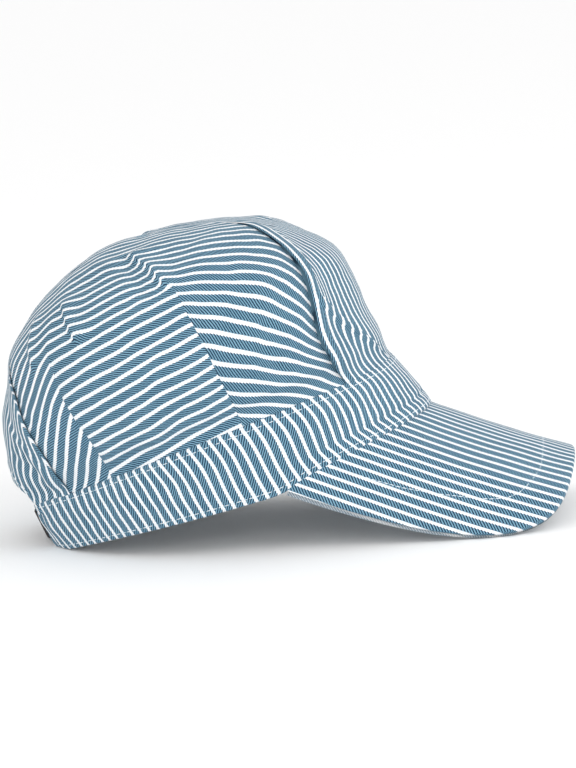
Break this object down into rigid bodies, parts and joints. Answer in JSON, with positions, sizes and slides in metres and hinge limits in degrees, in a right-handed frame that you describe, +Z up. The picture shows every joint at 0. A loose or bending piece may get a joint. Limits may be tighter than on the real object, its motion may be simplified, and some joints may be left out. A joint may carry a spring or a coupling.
{
  "type": "railroad engineer cap",
  "caption": "Soft striped engineer cap with a full pleated crown, an upright band, a bent visor and an open back with a strap.",
  "frame": {"origin": "under the middle of the cap's box, on the surface that it rests on", "axes": "+Z up, the visor points to -Y, the wearer's right is at -X"},
  "size_m": [0.1748, 0.3068, 0.1679],
  "materials": {
    "striped_cloth": "matte twill with white stripes",
    "reverse_cloth": "matte reverse of the twill",
    "black_webbing": "matte woven strap"
  },
  "bodies": {
    "root": {"crown": "striped_cloth", "band": "striped_cloth", "visor_top": "striped_cloth", "visor_underside": "reverse_cloth", "back_strap": "black_webbing"}
  },
  "joints": []
}
